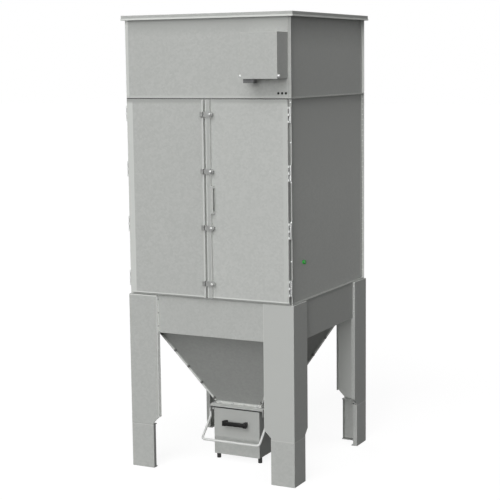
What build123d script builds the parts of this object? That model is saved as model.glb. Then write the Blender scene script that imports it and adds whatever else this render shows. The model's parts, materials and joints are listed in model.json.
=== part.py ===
from build123d import *
import os
from math import cos, hypot, radians, sin

os.makedirs("parts", exist_ok=True)

# Cartridge dust collector, in millimetres. The origin is on the floor, midway
# between the four feet. The doors face -Y and +Z is up.

# Overall sizes
cabinet_width = 1000
cabinet_depth = 1000
frame_height = 993
chamber_height = 1086
head_height = 441
panel_sheet = 2
frame_sheet = 3
tube_sheet_thickness = 3

# Leg frame
frame_outset = 8.5
leg_front_width = 180
leg_side_width = 172
foot_width = 140
foot_height = 250
foot_neck = 10
leg_lip = 25
frame_top_flange = 25
joint_plate_width = 36
foot_plate_thickness = 5
anchor_hole_radius = 7
anchor_inset = 50
apron_height = 211
apron_setback = 2
apron_end_flange = 25
apron_foot_flange = 20

# Hopper, outlet and cover
hopper_inset = 20
hopper_rim_height = 51
outlet_width = 276
outlet_depth = 330
outlet_level = 340
outlet_neck_height = 19
corner_flange = 20
collar_height = 16
collar_clearance = 0.3
collar_flange = 27
cover_width = 340
cover_depth = 410
cover_front_lip = 10
cover_side_lip = 43

# Bin
bin_width = 290
bin_depth = 400
bin_foot_radius = 12
bin_foot_height = 33
bin_foot_inset_x = 12
bin_foot_inset_y = 30
handle_level = 224
handle_length = 166
handle_block = 28
handle_reach = 38
handle_bar_height = 24
handle_bar_depth = 12
handle_block_height = 34

# Bail in front of the bin
bail_radius = 6
bail_sides = 8
bail_clearance = 0.05
bail_side_gap = 4
bail_pivot_y = -175
bail_pivot_level = 290
bail_knee_level = 242
bail_bar_y = -282
bail_bar_level = 136
bail_bend = 15
bail_end_bend = 8
bail_end_length = 18

# Cabinet panels
panel_fold = 18
panel_return = 18

# Door frame and doors, which stand in front of the frame
door_thickness = 16
door_side_gap = 13
door_top_gap = 5
door_bottom_gap = 11
door_seal_gap = 5
door_frame_width = 40
door_frame_return = 20
door_back_flange = 12
door_meeting_x = 3
door_meeting_gap = 12
rib_proud = 14
left_rib_width = 14
right_rib_width = 27
centre_post_width = 50
centre_post_depth = 30

# Hinges and latches
row_count = 4
row_inset = 79
hinge_height = 84
hinge_inset = 5
hinge_front_gap = 0.5
hinge_knuckle_radius = 5.5
hinge_pin_radius = 3
hinge_clearance = 0.05
hinge_end_gap = 0.5
hinge_door_knuckle = 12
hinge_leaf = 3
hinge_door_leaf = 2
hinge_tongue = 7
hinge_tongue_depth = 7.5
small_round_sides = 12
latch_height = 28
latch_thickness = 3
latch_gap = 5
latch_end_gap = 0.4
latch_pivot_x = 42.5
latch_corner = 8
latch_boss_radius = 6
latch_pin_radius = 4
latch_clearance = 0.05
latch_head_radius = 7
latch_head_height = 5
keeper_overhang = 3.5
keeper_gap = 6
grip_length = 148
grip_width = 16
grip_reach = 28
grip_thickness = 8
grip_side_gap = 2

# Filters
cartridge_radius = 162
cartridge_length = 660
cartridge_pitch_x = 450
cartridge_pitch_y = 450
cartridge_cap = 20
cartridge_bore = 110
tube_hole_radius = 112
cartridge_sides = 24

# Roof and control box
roof_overhang = 18
roof_lip = 26
roof_hem = 9
roof_hem_proud = 2
control_box_width = 210
control_box_height = 238
control_box_depth = 126
control_box_side = 20
control_box_rise = 99
control_base_depth = 60
connector_width = 60
connector_depth = 36
connector_height = 21
connector_inset = 10
front_hole_radius = 5.5
front_hole_pitch = 21.8
front_hole_inset = 30.7
front_hole_rise = 23

# Duct spigots at the rear
duct_radius = 157.5
duct_length = 126
duct_collar = 22
inlet_rise = 234
outlet_rise = 220

# Positions worked out from the sizes above
half_width = cabinet_width / 2
half_depth = cabinet_depth / 2
frame_x = half_width + frame_outset
frame_y = half_depth + frame_outset
leg_x = frame_x - leg_front_width
leg_y = frame_y - leg_side_width
foot_x = frame_x - foot_width
foot_y = frame_y - foot_width
chamber_bottom = frame_height + frame_sheet
chamber_top = chamber_bottom + chamber_height
head_bottom = chamber_top + tube_sheet_thickness
head_top = head_bottom + head_height
wall_x = half_width - panel_fold
wall_inner = wall_x - panel_sheet
rear_y = half_depth - panel_sheet
hopper_x = half_width - hopper_inset - frame_sheet
hopper_y = half_depth - hopper_inset - frame_sheet
hopper_slope_top = chamber_bottom - hopper_rim_height
cover_top = outlet_level - outlet_neck_height
cover_bottom = cover_top - frame_sheet
cover_x = cover_width / 2
cover_y = cover_depth / 2
bin_bottom = bin_foot_height
bin_face = -bin_depth / 2
door_edge = half_width - door_side_gap
door_bottom = chamber_bottom + door_bottom_gap
door_top = chamber_top - door_top_gap
frame_face = -half_depth
door_back = frame_face - door_seal_gap
door_face = door_back - door_thickness
left_door_end = door_meeting_x - door_meeting_gap / 2
right_door_end = door_meeting_x + door_meeting_gap / 2
rib_face = door_face - rib_proud
row_pitch = (door_top - door_bottom - 2 * row_inset) / (row_count - 1)
row_levels = [door_bottom + row_inset + row_pitch * row for row in range(row_count)]
grip_level = (row_levels[1] + row_levels[2]) / 2
hinge_x = half_width - hinge_inset
hinge_y = frame_face - hinge_front_gap - hinge_knuckle_radius
latch_back = rib_face - latch_gap
latch_front = latch_back - latch_thickness
box_right = half_width - control_box_side
box_left = box_right - control_box_width
box_bottom = head_bottom + control_box_rise
box_top = box_bottom + control_box_height
box_front = -half_depth - control_box_depth
inlet_level = chamber_bottom + inlet_rise
outlet_duct_level = head_bottom + outlet_rise


# A block between two corners.
def block(x0, x1, y0, y1, z0, z1):
    centre = Pos((x0 + x1) / 2, (y0 + y1) / 2, (z0 + z1) / 2)
    return centre * Box(x1 - x0, y1 - y0, z1 - z0)


def rod_x(radius, x0, x1, y, z):
    return Pos((x0 + x1) / 2, y, z) * Rot(0, 90, 0) * Cylinder(radius, x1 - x0)


def rod_y(radius, x, y0, y1, z):
    return Pos(x, (y0 + y1) / 2, z) * Rot(90, 0, 0) * Cylinder(radius, y1 - y0)


def rod_z(radius, x, y, z0, z1):
    return Pos(x, y, (z0 + z1) / 2) * Cylinder(radius, z1 - z0)


# Many-sided prisms stand for the small or repeated round parts.
def many_sided_z(radius, sides, x, y, z0, z1):
    return Pos(x, y, z0) * extrude(RegularPolygon(radius, sides), amount=z1 - z0)


def many_sided_y(radius, x, y0, y1, z):
    prism = extrude(RegularPolygon(radius, small_round_sides), amount=y1 - y0)
    return Pos(x, y0, z) * Rot(-90, 0, 0) * prism


# The outline of a folded sheet, whose thickness lies left of the given points.
def fold_face(points, thickness):
    path = [Vector(x, y) for x, y in points]
    steps = [(b - a).normalized() for a, b in zip(path, path[1:])]
    lefts = [Vector(-step.Y, step.X) for step in steps]
    inner = [path[0] + lefts[0] * thickness]
    for corner, before, after in zip(path[1:-1], lefts, lefts[1:]):
        inner.append(corner + (before + after) * (thickness / (1 + before.dot(after))))
    inner.append(path[-1] + lefts[-1] * thickness)
    return make_face(Polyline(*path, *reversed(inner), close=True))


# A folded sheet whose bends run along Z, X or Y.
def fold_z(points, thickness, z0, z1):
    return Pos(0, 0, z0) * extrude(fold_face(points, thickness), amount=z1 - z0)


def fold_x(points, thickness, x0, x1):
    face = Pos(x0, 0, 0) * (Plane.YZ * fold_face(points, thickness))
    return extrude(face, amount=x1 - x0, dir=(1, 0, 0))


def fold_y(points, thickness, y0, y1):
    face = Pos(0, y0, 0) * (Plane.XZ * fold_face(points, thickness))
    return extrude(face, amount=y1 - y0, dir=(0, 1, 0))


# A prism through Z from a plan, or through Y from a front view.
def prism_z(points, z0, z1):
    return Pos(0, 0, z0) * extrude(make_face(Polyline(*points, close=True)), amount=z1 - z0)


def prism_y(points, y0, y1):
    face = Pos(0, y0, 0) * (Plane.XZ * make_face(Polyline(*points, close=True)))
    return extrude(face, amount=y1 - y0, dir=(0, 1, 0))


def prism_x(points, x0, x1):
    face = Pos(x0, 0, 0) * (Plane.YZ * make_face(Polyline(*points, close=True)))
    return extrude(face, amount=x1 - x0, dir=(1, 0, 0))


# The piece at front left, carried to another corner.
def at_corner(piece, to_right, to_rear):
    if to_right:
        piece = mirror(piece, about=Plane.YZ)
    if to_rear:
        piece = mirror(piece, about=Plane.XZ)
    return piece


# The lipped angle of a leg, in plan.
def angle_plan(inner_x, inner_y):
    return [
        (-frame_x + leg_lip, -inner_y),
        (-frame_x, -inner_y),
        (-frame_x, -frame_y),
        (-inner_x, -frame_y),
        (-inner_x, -frame_y + leg_lip),
    ]


# An angle-shaped plate inside the leg, with a gusset in its corner.
def corner_plate(z0, z1):
    wide = 2 * joint_plate_width
    plan = [
        (-frame_x, -frame_y),
        (-foot_x, -frame_y),
        (-foot_x, -frame_y + joint_plate_width),
        (-frame_x + wide, -frame_y + joint_plate_width),
        (-frame_x + joint_plate_width, -frame_y + wide),
        (-frame_x + joint_plate_width, -foot_y),
        (-frame_x, -foot_y),
    ]
    return prism_z(plan, z0, z1)


# The upper leg narrows to the foot's width just above the joint.
def leg():
    body = fold_z(angle_plan(leg_x, leg_y), frame_sheet, foot_height, frame_height)
    top = frame_height - frame_sheet
    inner = frame_x - frame_top_flange
    body += block(-frame_x, -leg_x, -frame_y, -frame_y + frame_top_flange, top, frame_height)
    body += block(-frame_x, -inner, -frame_y, -leg_y, top, frame_height)
    body += corner_plate(foot_height, foot_height + frame_sheet)
    past = 5
    low = foot_height - past
    neck = foot_height + foot_neck
    front_rise = neck + foot_x - leg_x
    side_rise = neck + foot_y - leg_y
    reach = leg_lip + 2 * past
    front = [
        (-foot_x, low),
        (-foot_x, neck),
        (-leg_x, front_rise),
        (-leg_x + past, front_rise),
        (-leg_x + past, low),
    ]
    side = [
        (-foot_y, low),
        (-foot_y, neck),
        (-leg_y, side_rise),
        (-leg_y + past, side_rise),
        (-leg_y + past, low),
    ]
    body -= prism_y(front, -frame_y - past, -frame_y + reach)
    return body - prism_x(side, -frame_x - past, -frame_x + reach)


def leg_foot():
    body = fold_z(angle_plan(foot_x, foot_y), frame_sheet, 0, foot_height)
    body += corner_plate(foot_height - frame_sheet, foot_height)
    body += corner_plate(0, foot_plate_thickness)
    hole_x = -frame_x + anchor_inset
    hole_y = -frame_y + anchor_inset
    return body - rod_z(anchor_hole_radius, hole_x, hole_y, -1, foot_plate_thickness + 1)


# The section of an apron, from the inner edge of its top flange.
def apron_section(outer):
    foot = frame_height - apron_height
    return [
        (outer + frame_top_flange - apron_setback, frame_height),
        (outer, frame_height),
        (outer, foot),
        (outer + apron_foot_flange, foot),
    ]


def front_apron():
    outer = -frame_y + apron_setback
    body = fold_x(apron_section(outer), frame_sheet, -leg_x, leg_x)
    z0 = frame_height - apron_height
    for x in (-leg_x, leg_x - frame_sheet):
        body += block(x, x + frame_sheet, outer, outer + apron_end_flange, z0, frame_height)
    return body


def left_apron():
    outer = -frame_x + apron_setback
    body = fold_y(apron_section(outer), frame_sheet, -leg_y, leg_y)
    z0 = frame_height - apron_height
    for y in (-leg_y, leg_y - frame_sheet):
        body += block(outer, outer + apron_end_flange, y, y + frame_sheet, z0, frame_height)
    return body


# The hopper plate on the -Y side: top flange, upright rim, slope and neck,
# mitred at the corners, with a bolting flange along each mitre. Out is how far
# the rim or the neck stands from the middle, across is half its width.
def hopper_plate(top_out, top_across, low_out, low_across):
    section = [
        (-low_out, cover_top),
        (-low_out, outlet_level),
        (-top_out, hopper_slope_top),
        (-top_out, chamber_bottom),
        (-top_out - hopper_inset - frame_sheet, chamber_bottom),
    ]
    across = top_across + hopper_inset + frame_sheet
    body = fold_x(section, frame_sheet, -across, across)
    run_out = top_out - low_out
    run_across = top_across - low_across
    ratio = run_across / run_out
    near = low_out / 2
    far = 2 * top_out
    wedge = [
        (-low_across + ratio * near, -low_out + near),
        (-low_across - ratio * (far - low_out), -far),
        (low_across + ratio * (far - low_out), -far),
        (low_across - ratio * near, -low_out + near),
    ]
    body &= prism_z(wedge, 0, chamber_bottom + 1)
    length = hypot(run_out, run_across)
    step_x = corner_flange * run_across / length
    step_y = corner_flange * run_out / length
    for side in (-1, 1):
        low = Vector(side * low_across, -low_out, outlet_level)
        high = Vector(side * top_across, -top_out, hopper_slope_top)
        out = Vector(side * step_x, -step_y, 0)
        flange = Face(Wire.make_polygon([low, high, high + out, low + out], close=True))
        body += extrude(flange, amount=frame_sheet, dir=(-side * run_out, -run_across, 0))
    return body


def hopper_front():
    return hopper_plate(hopper_y, hopper_x, outlet_depth / 2, outlet_width / 2)


def hopper_left():
    plate = hopper_plate(hopper_x, hopper_y, outlet_width / 2, outlet_depth / 2)
    return Rot(0, 0, -90) * plate


# The bolted angle frame round the hopper's neck.
def outlet_collar():
    x = outlet_width / 2 + frame_sheet + collar_clearance
    y = outlet_depth / 2 + frame_sheet + collar_clearance
    z = cover_top
    wall_x = x + frame_sheet
    wall_y = y + frame_sheet
    body = block(-wall_x, wall_x, -wall_y, wall_y, z, z + collar_height)
    reach = collar_flange
    body += block(-x - reach, x + reach, -y - reach, y + reach, z, z + frame_sheet)
    return body - block(-x, x, -y, y, z - 1, z + collar_height + 1)


# The plate over the bin, with side lips that carry the bail's pivots.
def bin_cover():
    lip = cover_top - cover_front_lip
    body = block(-cover_x, cover_x, -cover_y, cover_y, cover_bottom, cover_top)
    body += block(-cover_x, cover_x, -cover_y, -cover_y + frame_sheet, lip, cover_top)
    body += block(-cover_x, cover_x, cover_y - frame_sheet, cover_y, lip, cover_top)
    for x in (-cover_x, cover_x - frame_sheet):
        body += block(x, x + frame_sheet, -cover_y, cover_y, cover_top - cover_side_lip, cover_top)
    x = outlet_width / 2
    y = outlet_depth / 2
    body -= block(-x, x, -y, y, cover_bottom - 1, cover_top + 1)
    bore = bail_radius + bail_clearance
    return body - rod_x(bore, -cover_x - 1, cover_x + 1, bail_pivot_y, bail_pivot_level)


def dust_bin():
    x = bin_width / 2
    y = bin_depth / 2
    body = block(-x, x, -y, y, bin_bottom, cover_bottom)
    inner_x = x - panel_sheet
    inner_y = y - panel_sheet
    floor = bin_bottom + panel_sheet
    return body - block(-inner_x, inner_x, -inner_y, inner_y, floor, cover_bottom + 1)


def bin_feet():
    x = bin_width / 2 - bin_foot_inset_x
    y = bin_depth / 2 - bin_foot_inset_y
    corners = [(-x, -y), (x, -y), (-x, y), (x, y)]
    sides = small_round_sides
    return [many_sided_z(bin_foot_radius, sides, *corner, 0, bin_bottom) for corner in corners]


def bin_handle():
    x = handle_length / 2
    front = bin_face - handle_reach
    bar = handle_bar_height / 2
    end = handle_block_height / 2
    body = block(-x, x, front, front + handle_bar_depth, handle_level - bar, handle_level + bar)
    for x0 in (-x, x - handle_block):
        body += block(x0, x0 + handle_block, front + 2, bin_face, handle_level - end, handle_level + end)
    return body


# A line through the points with each corner rounded to its own radius.
def rounded_path(points, radii):
    path = [Vector(*point) for point in points]
    edges = []
    start = path[0]
    for before, corner, after, radius in zip(path, path[1:], path[2:], radii):
        back = (before - corner).normalized()
        ahead = (after - corner).normalized()
        half = back.get_angle(ahead) / 2
        middle = (back + ahead).normalized()
        run = radius * cos(radians(half)) / sin(radians(half))
        depth = radius / sin(radians(half)) - radius
        first = corner + back * run
        last = corner + ahead * run
        edges.append(Line(start, first))
        edges.append(ThreePointArc(first, corner + middle * depth, last))
        start = last
    edges.append(Line(start, path[-1]))
    return Wire(edges)


def bin_bail():
    x = cover_x + bail_side_gap + bail_radius
    end = cover_x - bail_end_length + bail_side_gap
    half = [
        (end, bail_pivot_y, bail_pivot_level),
        (x, bail_pivot_y, bail_pivot_level),
        (x, bail_pivot_y, bail_knee_level),
        (x, bail_bar_y, bail_bar_level),
    ]
    other = [(-point[0], point[1], point[2]) for point in reversed(half)]
    bends = [bail_end_bend, bail_bend, bail_bend]
    path = rounded_path(half + other, bends + bends[::-1])
    section = Plane(origin=path @ 0, z_dir=path % 0) * RegularPolygon(bail_radius, bail_sides)
    return sweep(section, path=path)


# A left side panel, whose four edges fold outward.
def side_panel(z0, z1):
    rear = rear_y - panel_sheet
    plan = [
        (-half_width, rear),
        (-wall_x, rear),
        (-wall_x, -half_depth + panel_sheet),
        (-half_width, -half_depth + panel_sheet),
    ]
    body = fold_z(plan, panel_sheet, z0, z1)
    for z in (z0, z1 - panel_sheet):
        body += block(-half_width, -wall_x, -half_depth, rear_y, z, z + panel_sheet)
    return body


# A flat rear panel with inward flanges top and bottom and a duct opening.
def rear_panel(z0, z1, duct_z):
    body = block(-half_width, half_width, rear_y, half_depth, z0, z1)
    for z in (z0, z1 - panel_sheet):
        body += block(-wall_inner, wall_inner, rear_y - panel_return, rear_y, z, z + panel_sheet)
    hole = duct_radius - panel_sheet
    return body - rod_y(hole, 0, rear_y - 1, half_depth + 1, duct_z)


def head_front_panel():
    x = wall_inner
    back = -half_depth + panel_return
    body = block(-x, x, -half_depth, back, head_bottom, head_top)
    sheet = panel_sheet
    low = head_bottom + sheet
    body -= block(-x + sheet, x - sheet, -half_depth + sheet, back + 1, low, head_top - sheet)
    for hole in range(3):
        hole_x = half_width - front_hole_inset - front_hole_pitch * hole
        hole_z = head_bottom + front_hole_rise
        body -= rod_y(front_hole_radius, hole_x, -half_depth - 1, -half_depth + sheet + 1, hole_z)
    return body


def roof_cover():
    x = half_width + roof_overhang
    y = half_depth + roof_overhang
    lip_x = x - roof_hem_proud
    lip_y = y - roof_hem_proud
    top = head_top + panel_sheet
    foot = top - roof_lip
    body = block(-lip_x, lip_x, -lip_y, lip_y, foot, top)
    body += block(-x, x, -y, y, foot, foot + roof_hem)
    inner_x = lip_x - panel_sheet
    inner_y = lip_y - panel_sheet
    return body - block(-inner_x, inner_x, -inner_y, inner_y, foot - 1, head_top)


# A plain spigot on a square flange.
def duct_spigot(duct_z):
    body = rod_y(duct_radius, 0, half_depth, half_depth + duct_length, duct_z)
    reach = duct_radius + duct_collar
    body += block(-reach, reach, half_depth, half_depth + frame_sheet, duct_z - reach, duct_z + reach)
    bore = duct_radius - panel_sheet
    return body - rod_y(bore, 0, half_depth - 1, half_depth + duct_length + 1, duct_z)


def tube_sheet():
    body = block(-half_width, half_width, -half_depth, half_depth, chamber_top, head_bottom)
    for x in (-cartridge_pitch_x / 2, cartridge_pitch_x / 2):
        for y in (-cartridge_pitch_y / 2, cartridge_pitch_y / 2):
            body -= rod_z(tube_hole_radius, x, y, chamber_top - 1, head_bottom + 1)
    return body


# Each cartridge hangs under the tube sheet and is open at its top. Flat faces
# stand for its pleats.
def filter_cartridges():
    pieces = []
    top = chamber_top
    foot = top - cartridge_length
    media = cartridge_radius - 4
    sides = cartridge_sides
    for x in (-cartridge_pitch_x / 2, cartridge_pitch_x / 2):
        for y in (-cartridge_pitch_y / 2, cartridge_pitch_y / 2):
            body = many_sided_z(media, sides, x, y, foot, top)
            body += many_sided_z(cartridge_radius, sides, x, y, top - cartridge_cap, top)
            body += many_sided_z(cartridge_radius, sides, x, y, foot, foot + cartridge_cap)
            bore = many_sided_z(cartridge_bore, sides, x, y, foot + cartridge_cap, top + 1)
            pieces.append(body - bore)
    return pieces


# The frame that both doors close against.
def door_frame():
    x = wall_inner
    z0 = chamber_bottom
    z1 = chamber_top
    back = frame_face + door_frame_return
    sheet = panel_sheet
    width = door_frame_width
    body = block(-x, x, frame_face, back, z0, z1)
    body -= block(-x + sheet, x - sheet, frame_face + sheet, back + 1, z0 + sheet, z1 - sheet)
    inner_x = x - width
    low = z0 + width
    high = z1 - width
    body += block(-inner_x - sheet, inner_x + sheet, frame_face, back, low - sheet, high + sheet)
    return body - block(-inner_x, inner_x, frame_face - 1, back + 1, low, high)


def centre_post():
    x0 = door_meeting_x - centre_post_width / 2
    x1 = door_meeting_x + centre_post_width / 2
    plan = [
        (x0, frame_face + centre_post_depth),
        (x0, frame_face),
        (x1, frame_face),
        (x1, frame_face + centre_post_depth),
    ]
    z0 = chamber_bottom + door_frame_width
    z1 = chamber_top - door_frame_width
    return fold_z(plan, panel_sheet, z0, z1)


# A door tray with a back flange all round, from its plan.
def door(plan, x0, x1):
    body = fold_z(plan, panel_sheet, door_bottom, door_top)
    for z in (door_bottom, door_top - panel_sheet):
        body += block(x0, x1, door_face, door_back, z, z + panel_sheet)
    back = door_back - panel_sheet
    for z in (door_bottom, door_top - door_back_flange):
        body += block(x0, x1, back, door_back, z, z + door_back_flange)
    return body


def left_door():
    rib_x = left_door_end - left_rib_width
    plan = [
        (-door_edge + door_back_flange, door_back),
        (-door_edge, door_back),
        (-door_edge, door_face),
        (rib_x, door_face),
        (rib_x, rib_face),
        (left_door_end, rib_face),
        (left_door_end, door_back),
        (left_door_end - door_back_flange, door_back),
    ]
    return door(plan, -door_edge, left_door_end)


def right_door():
    rib_x = right_door_end + right_rib_width
    plan = [
        (right_door_end + door_back_flange, door_back),
        (right_door_end, door_back),
        (right_door_end, rib_face),
        (rib_x, rib_face),
        (rib_x, door_face),
        (door_edge, door_face),
        (door_edge, door_back),
        (door_edge - door_back_flange, door_back),
    ]
    return door(plan, right_door_end, door_edge)


# The fixed half of a left hinge: two long knuckles, each with a leaf on the
# panel's front flange, and the pin between them.
def hinge_frame_half(middle):
    sides = small_round_sides
    half = hinge_height / 2
    near = hinge_door_knuckle / 2 + hinge_end_gap
    body = many_sided_z(hinge_pin_radius, sides, -hinge_x, hinge_y, middle - half, middle + half)
    for low, high in ((middle - half, middle - near), (middle + near, middle + half)):
        body += many_sided_z(hinge_knuckle_radius, sides, -hinge_x, hinge_y, low, high)
        inner = -hinge_x + hinge_inset
        body += block(-half_width, inner, frame_face - hinge_leaf, frame_face, low, high)
    return body


# The moving half: a leaf on the door's edge with three tongues, of which the
# middle one carries a knuckle.
def hinge_door_half(middle):
    half = hinge_height / 2
    tall = hinge_door_knuckle
    front = door_face + hinge_tongue_depth
    leaf = -door_edge - hinge_door_leaf
    body = block(leaf, -door_edge, door_face, door_back, middle - half, middle + half)
    for z in (middle - half, middle - tall / 2, middle + half - tall):
        body += block(-door_edge - hinge_tongue, -door_edge, door_face, front, z, z + tall)
    z0 = middle - tall / 2
    z1 = middle + tall / 2
    body += block(-hinge_x, -door_edge, door_face, hinge_y, z0, z1)
    body += many_sided_z(hinge_knuckle_radius, small_round_sides, -hinge_x, hinge_y, z0, z1)
    return body - rod_z(hinge_pin_radius + hinge_clearance, -hinge_x, hinge_y, z0 - 1, z1 + 1)


# The boss, pin and head that one latch turns on.
def latch_pivot(z):
    boss = latch_back + latch_end_gap
    head = latch_front - latch_end_gap
    body = many_sided_y(latch_boss_radius, latch_pivot_x, boss, door_face, z)
    body += many_sided_y(latch_pin_radius, latch_pivot_x, head - 1, boss + 1, z)
    return body + many_sided_y(latch_head_radius, latch_pivot_x, head - latch_head_height, head, z)


def latch(z):
    half = latch_height / 2
    tip = left_door_end + keeper_gap
    tail = latch_pivot_x + half
    outline = [
        (tip, z - half),
        (tip, z + half),
        (tail - latch_corner, z + half),
        (tail, z + half - latch_corner),
        (tail, z - half + latch_corner),
        (tail - latch_corner, z - half),
    ]
    body = prism_y(outline, latch_front, latch_back)
    bore = latch_pin_radius + latch_clearance
    return body - rod_y(bore, latch_pivot_x, latch_front - 1, latch_back + 1, z)


def latch_keeper(z):
    half = latch_height / 2
    rib_x = left_door_end - left_rib_width
    low = z - half
    high = z + half
    body = block(rib_x, left_door_end, latch_back, rib_face, low, high)
    return body + block(rib_x - keeper_overhang, left_door_end, latch_front, latch_back, low, high)


def door_grip():
    x0 = right_door_end + right_rib_width + grip_side_gap
    x1 = x0 + grip_width
    z0 = grip_level - grip_length / 2
    z1 = grip_level + grip_length / 2
    front = door_face - grip_reach
    body = block(x0, x1, front, door_face, z0, z1)
    return body - block(x0 - 1, x1 + 1, front + grip_thickness, door_face + 1, z0 + 12, z1 - 12)


def control_box_base():
    sheet = panel_sheet
    back = -half_depth
    front = back - control_base_depth
    outer = (box_left + sheet, box_right - sheet)
    inner = (box_left + 2 * sheet, box_right - 2 * sheet)
    body = block(*outer, front, back, box_bottom + sheet, box_top - sheet)
    return body - block(*inner, front - 1, back - sheet, box_bottom + 2 * sheet, box_top - 2 * sheet)


def control_box_cover():
    sheet = panel_sheet
    back = -half_depth - sheet
    body = block(box_left, box_right, box_front, back, box_bottom, box_top)
    inner = (box_left + sheet, box_right - sheet)
    front = box_front + sheet
    return body - block(*inner, front, back + 1, box_bottom + sheet, box_top - sheet)


def connector_block():
    x0 = box_left + connector_inset
    y0 = box_front + connector_inset
    z0 = box_bottom - connector_height
    return block(x0, x0 + connector_width, y0, y0 + connector_depth, z0, box_bottom)


nodes = {
    "roof_cover": [roof_cover()],
    "head_front_panel": [head_front_panel()],
    "head_left_panel": [side_panel(head_bottom, head_top)],
    "head_right_panel": [mirror(side_panel(head_bottom, head_top), about=Plane.YZ)],
    "head_rear_panel": [rear_panel(head_bottom, head_top, outlet_duct_level)],
    "outlet_spigot": [duct_spigot(outlet_duct_level)],
    "control_box_base": [control_box_base()],
    "control_box_cover": [control_box_cover()],
    "connector_block": [connector_block()],
    "tube_sheet": [tube_sheet()],
    "filter_cartridges": filter_cartridges(),
    "chamber_left_panel": [side_panel(chamber_bottom, chamber_top)],
    "chamber_right_panel": [mirror(side_panel(chamber_bottom, chamber_top), about=Plane.YZ)],
    "chamber_rear_panel": [rear_panel(chamber_bottom, chamber_top, inlet_level)],
    "inlet_spigot": [duct_spigot(inlet_level)],
    "door_frame": [door_frame()],
    "centre_post": [centre_post()],
    "left_door": [left_door()],
    "right_door": [right_door()],
    "left_hinges_frame": [hinge_frame_half(z) for z in row_levels],
    "left_hinges_door": [hinge_door_half(z) for z in row_levels],
    "right_hinges_frame": [mirror(hinge_frame_half(z), about=Plane.YZ) for z in row_levels],
    "right_hinges_door": [mirror(hinge_door_half(z), about=Plane.YZ) for z in row_levels],
    "latch_keepers": [latch_keeper(z) for z in row_levels],
    "latch_pivots": [latch_pivot(z) for z in row_levels],
    "door_grip": [door_grip()],
    "hopper_front": [hopper_front()],
    "hopper_rear": [mirror(hopper_front(), about=Plane.XZ)],
    "hopper_left": [hopper_left()],
    "hopper_right": [mirror(hopper_left(), about=Plane.YZ)],
    "outlet_collar": [outlet_collar()],
    "bin_cover": [bin_cover()],
    "dust_bin": [dust_bin()],
    "bin_feet": bin_feet(),
    "bin_handle": [bin_handle()],
    "bin_bail": [bin_bail()],
    "frame_aprons": [
        front_apron(),
        mirror(front_apron(), about=Plane.XZ),
        left_apron(),
        mirror(left_apron(), about=Plane.YZ),
    ],
    "leg_feet": [at_corner(leg_foot(), to_right, to_rear) for to_right in (0, 1) for to_rear in (0, 1)],
}
for row, level in enumerate(row_levels):
    nodes[f"latch_{row + 1}"] = [latch(level)]
for place, to_right, to_rear in (
    ("front_left", False, False),
    ("front_right", True, False),
    ("rear_left", False, True),
    ("rear_right", True, True),
):
    nodes[f"leg_{place}"] = [at_corner(leg(), to_right, to_rear)]

for name, pieces in nodes.items():
    shape = pieces[0] if len(pieces) == 1 else Compound(children=pieces)
    export_step(shape, f"parts/{name}.step")
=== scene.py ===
import json
from math import atan2, cos, pi, radians, sin

import bpy
from mathutils import Matrix, Vector


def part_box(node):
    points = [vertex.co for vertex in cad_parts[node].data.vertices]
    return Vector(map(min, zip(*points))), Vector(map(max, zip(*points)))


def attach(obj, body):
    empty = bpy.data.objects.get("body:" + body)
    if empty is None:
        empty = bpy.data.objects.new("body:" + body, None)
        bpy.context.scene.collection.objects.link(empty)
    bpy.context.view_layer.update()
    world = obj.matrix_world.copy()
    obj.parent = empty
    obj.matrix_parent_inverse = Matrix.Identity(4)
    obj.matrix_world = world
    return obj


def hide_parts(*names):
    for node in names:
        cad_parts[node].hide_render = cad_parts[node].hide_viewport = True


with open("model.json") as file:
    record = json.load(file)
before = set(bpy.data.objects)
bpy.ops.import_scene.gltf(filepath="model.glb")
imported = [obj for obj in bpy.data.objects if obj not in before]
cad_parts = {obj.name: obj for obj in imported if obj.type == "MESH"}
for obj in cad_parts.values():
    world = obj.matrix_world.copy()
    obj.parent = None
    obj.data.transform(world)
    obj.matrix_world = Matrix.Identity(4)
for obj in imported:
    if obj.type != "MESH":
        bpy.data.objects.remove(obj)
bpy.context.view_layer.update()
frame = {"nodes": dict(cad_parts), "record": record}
mm = 0.001
print("frame loaded")


class Signal:
    # a shader socket that takes part in Python sums

    def __init__(self, finish, socket):
        self.finish = finish
        self.socket = socket

    def sum(self, operation, first, second):
        return self.finish.node("Math", {"operation": operation}, {0: first, 1: second})

    def __add__(self, other):
        return self.sum("ADD", self, other)

    def __radd__(self, other):
        return self.sum("ADD", other, self)

    def __sub__(self, other):
        return self.sum("SUBTRACT", self, other)

    def __rsub__(self, other):
        return self.sum("SUBTRACT", other, self)

    def __mul__(self, other):
        return self.sum("MULTIPLY", self, other)

    def __rmul__(self, other):
        return self.sum("MULTIPLY", other, self)

    def size(self):
        return self.finish.node("Math", {"operation": "ABSOLUTE"}, {0: self})

    def between(self, low, high):
        # 0 up to the low value, 1 from the high value
        return self.finish.node("MapRange", {"clamp": True}, {0: self, 1: low, 2: high})


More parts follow.
